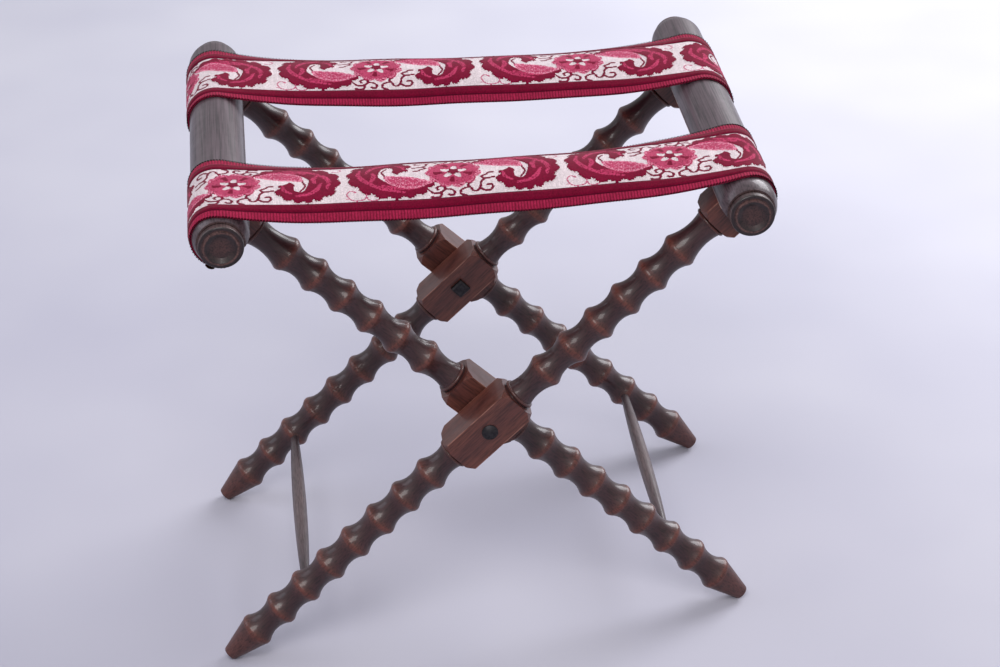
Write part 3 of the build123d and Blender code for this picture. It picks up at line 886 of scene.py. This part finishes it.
    def _cloth(self, along: np.ndarray, across: np.ndarray) -> np.ndarray:
        """Lays the flat weave's face over the rails.

        Args:
            along: Places along the strap.
            across: Places across it.

        Returns:
            Positions in mm, by column and row.
        """
        s, v = np.meshgrid(along, across, indexing="ij")
        share = np.abs(v) / self.half_width
        fall = self.sag + self.droop * share**self.droop_power
        reach = self.plan.rail_x / MM
        y_middle = self.middle_y + self.skew / 2 * s / reach
        round_rail = np.clip((np.abs(s) - reach) / (along[-1] - reach), 0, 1)
        slide = self.lie.tuck * np.interp(round_rail, (0, 0.25, 0.5, 1), (0, 0.65, 1, 0.7))
        past_taper = np.abs(y_middle + slide + v) - (self.plan.rail_half_length / MM - self.taper)
        near_end = np.clip(past_taper / self.taper_run, 0, 1)
        radius = self.plan.rail_radius / MM + self.lift + self.weave - self.ease * near_end**1.5
        past_top = np.arctan(self.span_power * fall / reach)
        half = reach - radius * np.sin(past_top)
        side = np.sign(s)
        free = np.abs(s) <= half
        u = np.clip(np.abs(s) / half, 0, 1)
        angle = math.pi / 2 + past_top - np.maximum(np.abs(s) - half, 0) / radius
        long_wave = np.sin(s / 41 + v / 23 + self.lie.seed)
        ripple = self.ripple * long_wave + self.small_ripple * np.sin(s / 17 - v / 31)
        x = np.where(free, s, side * (reach + radius * np.cos(angle)))
        z_free = radius * np.cos(past_top) - fall * (1 - u**self.span_power) + ripple * (1 - u**4)
        z = self.plan.rail_z / MM + np.where(free, z_free, radius * np.sin(angle))
        steep = self.droop_power * self.droop / self.half_width * share**(self.droop_power - 1)
        steep = steep * np.sqrt(np.clip(1 - u**2, 0, 1))
        y = y_middle + v * (1 - steep**2 / 6) + slide
        return np.stack([x, y, z], -1)

    @staticmethod
    def _normals(points: np.ndarray) -> np.ndarray:
        """Finds the outward unit normals of a grid.

        Args:
            points: Positions by column and row.

        Returns:
            Normals by column and row.
        """
        run = np.gradient(points, axis=0)
        rise = np.gradient(points, axis=1)
        normal = np.cross(run, rise)
        return normal / np.linalg.norm(normal, axis=-1, keepdims=True)

    def _mesh(self, along: np.ndarray, across: np.ndarray, yarn: np.ndarray,
              top: np.ndarray) -> bpy.types.Object:
        """Makes the strap's closed mesh, its face side fine and its back coarse.

        Args:
            along: Edges of the columns.
            across: Edges of the rows.
            yarn: Yarn of each cell.
            top: Positions of the face side.

        Returns:
            The strap.
        """
        columns, rows = len(along), len(across)
        back_rows = np.linspace(0, rows - 1, 9).round().astype(int)
        under = (self.base - self.normals * self.weave)[:, back_rows]
        points = np.vstack([top.reshape(-1, 3), under.reshape(-1, 3)]) * MM
        face = np.arange(columns * rows).reshape(columns, rows)
        back = (columns * rows + np.arange(columns * len(back_rows))).reshape(columns, -1)
        quads = [self._quads(face), self._quads(back)[:, ::-1]]
        quads.append(np.stack([face[:-1, 0], back[:-1, 0], back[1:, 0], face[1:, 0]], -1))
        quads.append(np.stack([face[1:, -1], back[1:, -1], back[:-1, -1], face[:-1, -1]], -1))
        faces = np.vstack(quads).tolist()
        faces.append([*face[0, :].tolist(), *back[0, ::-1].tolist()][::-1])
        faces.append([*face[-1, :].tolist(), *back[-1, ::-1].tolist()])
        mesh = bpy.data.meshes.new(f"velvet_{self.lie.place}_strap")
        mesh.from_pydata(points.tolist(), [], faces)
        plain = len(faces) - yarn.size
        self._mark(mesh, yarn, plain)
        self._unroll(mesh, along, across, back_rows)
        mesh.validate()
        mesh.shade_smooth()
        strap = bpy.data.objects.new(mesh.name, mesh)
        bpy.context.scene.collection.objects.link(strap)
        return strap

    @staticmethod
    def _quads(numbers: np.ndarray) -> np.ndarray:
        """Quads between the points of a numbered grid, wound outwards for the face side."""
        return np.stack([numbers[:-1, :-1], numbers[1:, :-1], numbers[1:, 1:], numbers[:-1, 1:]],
                        -1).reshape(-1, 4)

    def _mark(self, mesh: bpy.types.Mesh, yarn: np.ndarray, plain: int) -> None:
        """Writes each face's yarn, its shade (random tone, with painted shade in the grooves between the
        outer band's cords) and its finish.

        Args:
            mesh: The strap's mesh.
            yarn: Yarn of each cell of the face side.
            plain: How many faces of the back and the rims follow.
        """
        kinds = np.concatenate([yarn.reshape(-1), np.full(plain, int(Yarn.CORD))])
        random = np.random.default_rng(self.lie.seed + 100)
        shade = 1 - 0.30 * random.random(len(kinds))
        lengthwise = np.repeat(0.9 + 0.1 * random.random(yarn.shape[0]), yarn.shape[1])
        shade[:yarn.size] *= lengthwise
        # Painted shade: the cells in the grooves between the outer band's cords are darkened.
        between = np.arange(yarn.shape[0])[:, None] % self.rib_columns == 0
        shade[:yarn.size][(between & (yarn == Yarn.CORD)).reshape(-1)] *= 0.6
        stored = mesh.attributes.new("yarn", "FLOAT", "FACE")
        stored.data.foreach_set("value", kinds.astype(np.float32))
        stored = mesh.attributes.new("shade", "FLOAT", "FACE")
        stored.data.foreach_set("value", shade.astype(np.float32))
        velvet = np.isin(kinds, [int(k) for k in Yarn if k.raised or k in (Yarn.CORD, Yarn.EDGE)])
        mesh.polygons.foreach_set("material_index", velvet.astype(np.int32))

    def _unroll(self, mesh: bpy.types.Mesh, along: np.ndarray, across: np.ndarray,
                back_rows: np.ndarray) -> None:
        """Gives the mesh a UV map in metres of flat cloth.

        Args:
            mesh: The strap's mesh.
            along: Edges of the columns.
            across: Edges of the rows.
            back_rows: Rows that the back side has.
        """
        s, v = np.meshgrid(along, across, indexing="ij")
        flat = np.stack([s, v], -1)
        every = np.vstack([flat.reshape(-1, 2), flat[:, back_rows].reshape(-1, 2)]) * MM
        corner = np.empty(len(mesh.loops), np.int32)
        mesh.loops.foreach_get("vertex_index", corner)
        layer = mesh.uv_layers.new(name="cloth")
        layer.data.foreach_set("uv", every[corner].astype(np.float32).ravel())

    def hold(self, piece: bpy.types.Object) -> None:
        """Bakes a piece of the strap's transform into its mesh.

        Args:
            piece: The strap or its loops.
        """
        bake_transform(piece)

    def selvedge(self, velvet: bpy.types.Material) -> bpy.types.Object:
        """Adds the row of yarn loops along both long edges.

        Args:
            velvet: Finish of the loops.

        Returns:
            The loops of both edges, as one piece.
        """
        return SelvedgeLoops(f"{self.lie.place}_strap_selvedge").build(
            [self.edges[:, 0] * MM, self.edges[:, 1] * MM], velvet)


@dataclass(frozen=True)
class SelvedgeLoops:
    """Loops of weft yarn where it turns back at the webbing's edge, set along it by Geometry Nodes."""

    name: str
    pitch: float = 1.5 * MM
    loop_radius: float = 0.62 * MM
    yarn_radius: float = 0.34 * MM
    sides: int = 5

    def build(self, edges: list[np.ndarray], finish: bpy.types.Material) -> bpy.types.Object:
        """Sets loops along the edges.

        Args:
            edges: Points of each edge, in metres.
            finish: The loops' finish.

        Returns:
            The loops as a plain mesh.
        """
        mesh = bpy.data.meshes.new(f"{self.name}_edges")
        points = np.vstack(edges)
        counts = np.cumsum([0, *(len(e) for e in edges)])
        pairs = [(i, i + 1) for a, b in zip(counts, counts[1:]) for i in range(a, b - 1)]
        mesh.from_pydata(points.tolist(), pairs, [])
        host = bpy.data.objects.new(f"{self.name}_edges", mesh)
        bpy.context.scene.collection.objects.link(host)
        return bake_nodes(host, self._tree(finish), {
            "Pitch": self.pitch, "Loop Radius": self.loop_radius, "Yarn Radius": self.yarn_radius},
            self.name)

    def _tree(self, finish: bpy.types.Material) -> bpy.types.NodeTree:
        """Builds the node tree.

        Args:
            finish: The loops' finish.

        Returns:
            The tree, with inputs for the pitch and the loop's two radii.
        """
        tree = bpy.data.node_groups.new(self.name, "GeometryNodeTree")
        face = tree.interface
        face.new_socket("Geometry", in_out="INPUT", socket_type="NodeSocketGeometry")
        for label in ("Pitch", "Loop Radius", "Yarn Radius"):
            face.new_socket(label, in_out="INPUT", socket_type="NodeSocketFloat")
        face.new_socket("Geometry", in_out="OUTPUT", socket_type="NodeSocketGeometry")
        given = add(tree, "NodeGroupInput").outputs
        edge = add(tree, "GeometryNodeMeshToCurve", None, {"Mesh": given["Geometry"]})
        spots = add(tree, "GeometryNodeCurveToPoints", {"mode": "LENGTH"},
                    {"Curve": edge.outputs["Curve"], "Length": given["Pitch"]})
        ring = add(tree, "GeometryNodeCurvePrimitiveCircle", {"mode": "RADIUS"},
                   {"Resolution": 7, "Radius": given["Loop Radius"]})
        thread = add(tree, "GeometryNodeCurvePrimitiveCircle", {"mode": "RADIUS"},
                     {"Resolution": self.sides, "Radius": given["Yarn Radius"]})
        loop = add(tree, "GeometryNodeCurveToMesh", None, {
            "Curve": ring.outputs["Curve"], "Profile Curve": thread.outputs["Curve"]})
        lean = add(tree, "FunctionNodeRandomValue", {"data_type": "FLOAT"}, {2: -0.5, 3: 0.5, "Seed": 4})
        turned = add(tree, "FunctionNodeRotateRotation", {"rotation_space": "LOCAL"}, {
            "Rotation": spots.outputs["Rotation"],
            "Rotate By": add(tree, "FunctionNodeAxisAngleToRotation", None, {
                "Axis": (0.0, 0.0, 1.0), "Angle": lean.outputs[1]}).outputs["Rotation"]})
        rows = add(tree, "GeometryNodeInstanceOnPoints", None, {
            "Points": spots.outputs["Points"], "Instance": loop.outputs["Mesh"],
            "Rotation": turned.outputs["Rotation"]})
        real = add(tree, "GeometryNodeRealizeInstances", None, {"Geometry": rows.outputs["Instances"]})
        done = add(tree, "GeometryNodeSetMaterial", None, {
            "Geometry": real.outputs["Geometry"], "Material": finish})
        add(tree, "NodeGroupOutput", None, {"Geometry": done.outputs["Geometry"]})
        return tree


def bake_nodes(host: bpy.types.Object, tree: bpy.types.NodeTree, values: dict[str, float],
               name: str) -> bpy.types.Object:
    """Runs a Geometry Nodes tree on an object and keeps the result as a plain mesh.

    Args:
        host: Object that carries the tree's input, removed afterwards.
        tree: The tree.
        values: Input name and value.
        name: Name of the piece that is made.

    Returns:
        The piece, with no modifier.
    """
    modifier = host.modifiers.new(tree.name, "NODES")
    modifier.node_group = tree
    for item in tree.interface.items_tree:
        if item.item_type == "SOCKET" and item.in_out == "INPUT" and item.name in values:
            modifier[item.identifier] = values[item.name]
    graph = bpy.context.evaluated_depsgraph_get()
    graph.update()
    mesh = bpy.data.meshes.new_from_object(host.evaluated_get(graph))
    mesh.name = name
    bpy.data.objects.remove(host)
    piece = bpy.data.objects.new(name, mesh)
    bpy.context.scene.collection.objects.link(piece)
    return piece


# ---------------------------------------------------------------- sub-assemblies
@dataclass
class LegFrame:
    """One folding frame: two turned legs, the rail on them and the stretcher between them."""

    plan: StandPlan
    side: Side                  # side of the rail

    @property
    def name(self) -> str:
        """The frame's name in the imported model."""
        return f"{self.side.name.lower()}_frame"

    def dress(self) -> None:
        """Finishes the frame's legs, rail and stretcher."""
        for end in ("front", "back"):
            self._dress_leg(f"{self.name}_{end}_leg")
        self._dress_rail(f"{self.side.name.lower()}_rail")
        foot_side = Side(-self.side)
        self._dress_stretcher(f"{foot_side.name.lower()}_stretcher")

    def _dress_leg(self, node: str) -> None:
        """Finishes a leg, with the grain along it.

        Args:
            node: The leg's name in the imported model.
        """
        low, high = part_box(node)
        origin = Vector((0.0, (low.y + high.y) / 2, self.plan.pivot.z))
        turn = Euler((0.0, self.side * (math.pi / 2 - self.plan.slope), 0.0))
        dress(frame["nodes"][node], TURNED_LEG.material(node, Bore(origin, turn)))
        log.info("%s finished", node)

    def _dress_rail(self, node: str) -> None:
        """Finishes a rail, with the grain along it and its flat towards the legs.

        Args:
            node: The rail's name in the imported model.
        """
        origin = Vector((self.side * self.plan.rail_x, 0.0, self.plan.rail_z))
        outward = Vector((self.side * math.cos(self.plan.slope), 0.0, math.sin(self.plan.slope)))
        lengthwise = Vector((0.0, 1.0, 0.0))
        axes = Matrix((outward, lengthwise.cross(outward), lengthwise)).transposed()
        dress(frame["nodes"][node], TURNED_RAIL.material(node, Bore(origin, axes.to_euler())))
        log.info("%s finished", node)

    def _dress_stretcher(self, node: str) -> None:
        """Finishes a stretcher, with the grain along it.

        Args:
            node: The stretcher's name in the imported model.
        """
        low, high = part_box(node)
        turn = Euler((-math.pi / 2, 0.0, 0.0))
        dress(frame["nodes"][node], TAPERED_ROD.material(node, Bore((low + high) / 2, turn)))
        log.info("%s finished", node)


@dataclass
class Ironwork:
    """The pivots' bolts, spacers, washers and nuts, and the straps' tacks."""

    def dress(self) -> None:
        """Finishes every metal part."""
        iron, brass = WROUGHT_IRON.material(), TACK_BRASS.material()
        for name, node in frame["nodes"].items():
            if "_pivot_" in name:
                dress(node, iron)
            elif name.endswith("_tacks"):
                dress(node, brass)
        log.info("pivots and tacks finished")


@dataclass
class Webbing:
    """Both straps."""

    plan: StandPlan

    def build(self) -> None:
        """Weaves both straps and puts them on the stand."""
        ground, velvet = COTTON_GROUND.material(), CUT_VELVET.material()
        for lie in (StrapLie("front", first_flower=-24.0, tuck=8.0, seed=1),
                    StrapLie("back", first_flower=-75.0, tuck=0.0, seed=2)):
            strap = VelvetStrap(self.plan, lie)
            piece = strap.build(ground, velvet)
            node = f"{lie.place}_strap"
            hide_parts(node)
            loops = strap.selvedge(velvet)
            strap.hold(loops)


# ---------------------------------------------------------------- studio
class Lamp(Enum):
    """The studio's soft boxes."""

    KEY = "key"
    RIM = "rim"
    FILL = "fill"


@dataclass(frozen=True)
class SoftBox:
    """A soft box's place, size, strength and colour, aimed at the stand."""

    lamp: Lamp
    place: tuple[float, float, float]
    size: tuple[float, float]
    watts: float
    colour: str = "ffffff"

    def build(self, aim: Vector) -> None:
        """Hangs the soft box and points it.

        Args:
            aim: Point that it faces.
        """
        data = bpy.data.lights.new(f"{self.lamp.value}_light", "AREA")
        data.shape = "RECTANGLE"
        data.size, data.size_y = self.size
        data.energy = self.watts
        data.color = linear(self.colour)[:3]
        light = bpy.data.objects.new(data.name, data)
        light.location = self.place
        light.rotation_euler = (aim - Vector(self.place)).to_track_quat("-Z", "Y").to_euler()
        bpy.context.scene.collection.objects.link(light)


@dataclass
class Studio:
    """Pale seamless paper, soft light and the camera."""

    plan: StandPlan
    lens: float = 95.58                         # mm, on a 36 mm wide sensor
    distance: float = 2.3885
    azimuth: float = math.radians(-5.672)       # camera left of the stand's middle
    elevation: float = math.radians(28.496)
    roll: float = math.radians(-0.9345)
    aim: tuple[float, float, float] = (0.0159, -0.1241, 0.0698)   # from the pivot axis's middle

    def build(self) -> None:
        """Sets up the paper, the lights and the camera."""
        self._paper()
        centre = self.plan.pivot.copy()
        for box in (SoftBox(Lamp.KEY, (-0.5, -1.9, 2.5), (1.3, 1.3), 44.0, "fffcfa"),
                    SoftBox(Lamp.RIM, (1.7, 1.5, 1.7), (1.5, 1.5), 66.0, "fafaff"),
                    SoftBox(Lamp.FILL, (-1.9, 0.4, 1.6), (1.4, 1.4), 12.0, "eef1ff")):
            box.build(centre)
        world = bpy.context.scene.world or bpy.data.worlds.new("studio")
        bpy.context.scene.world = world
        world.use_nodes = True
        background = world.node_tree.nodes["Background"]
        background.inputs["Color"].default_value = linear("ececf2")
        background.inputs["Strength"].default_value = 0.72
        self._camera()
        log.info("studio set")

    def _paper(self) -> None:
        """Lays a wide sheet of pale paper under the stand, open on every side."""
        half = 9.0
        points = [(-half, -half, 0.0), (half, -half, 0.0), (half, half, 0.0), (-half, half, 0.0)]
        faces = [(0, 1, 2, 3)]
        mesh = bpy.data.meshes.new("paper")
        mesh.from_pydata(points, [], faces)
        # Seamless paper: matt, nearly white, with no edge to see, and a little greyer towards the front:
        # painted light makes it lighter towards the back right, where the rim lamp stands.
        material, tree, shader = new_material("seamless_paper")
        place = add(tree, "ShaderNodeTexCoord").outputs["Object"]
        tone = add(tree, "ShaderNodeValToRGB", {"stops": [(0.3, "f2f2f6"), (0.7, "ffffff")]},
                   {"Fac": Patches(180.0, 2.0).over(tree, place)})
        # Painted light: the paper's colour is lighter towards the back right and greyer towards the
        # front.
        away = add(tree, "ShaderNodeVectorMath", {"operation": "DOT_PRODUCT"},
                   {0: place, 1: (0.55, 0.84, 0.0)})
        back_right_painted_light = add(tree, "ShaderNodeMapRange", None, {
            "Value": away.outputs["Value"], "From Min": -1.0, "From Max": 1.5})
        light = add(tree, "ShaderNodeValToRGB",
                    {"stops": [(0.0, "a6a5b0"), (0.45, "b2b1bc"), (1.0, "c8c8d0")]},
                    {"Fac": back_right_painted_light.outputs["Result"]})
        colour = add(tree, "ShaderNodeMix", MULTIPLIED, {
            MIX_FACTOR: 1.0, MIX_A: light.outputs["Color"], MIX_B: tone.outputs["Color"]})
        tree.links.new(colour.outputs[MIX_RESULT], shader.inputs["Base Color"])
        shader.inputs["Roughness"].default_value = 0.75
        shader.inputs["Specular IOR Level"].default_value = 0.2
        mesh.materials.append(material)
        paper = bpy.data.objects.new("paper", mesh)
        bpy.context.scene.collection.objects.link(paper)

    def _camera(self) -> None:
        """Puts the camera at its angle, with its small roll."""
        data = bpy.data.cameras.new("camera")
        data.lens, data.sensor_width = self.lens, 36.0
        data.clip_start, data.clip_end = 0.05, 50.0
        forward = Vector((-math.sin(self.azimuth) * math.cos(self.elevation),
                          math.cos(self.azimuth) * math.cos(self.elevation),
                          -math.sin(self.elevation)))
        level = forward.cross(Vector((0, 0, 1))).normalized()
        upright = level.cross(forward)
        right = level * math.cos(self.roll) + upright * math.sin(self.roll)
        up = right.cross(forward)
        camera = bpy.data.objects.new("camera", data)
        aim = self.plan.pivot + Vector(self.aim)
        axes = Matrix((right, up, -forward)).transposed().to_4x4()
        camera.matrix_world = Matrix.Translation(aim - forward * self.distance) @ axes
        bpy.context.scene.collection.objects.link(camera)
        bpy.context.scene.camera = camera


def main() -> None:
    """Builds the stand's looks around the frame."""
    logging.basicConfig(level=logging.INFO, format="%(name)s: %(message)s")
    plan = StandPlan.from_frame()
    for side in Side:
        LegFrame(plan, side).dress()
    Ironwork().dress()
    Webbing(plan).build()
    Studio(plan).build()
    bpy.context.scene.view_settings.view_transform = "Standard"


if __name__ == "__main__":
    main()
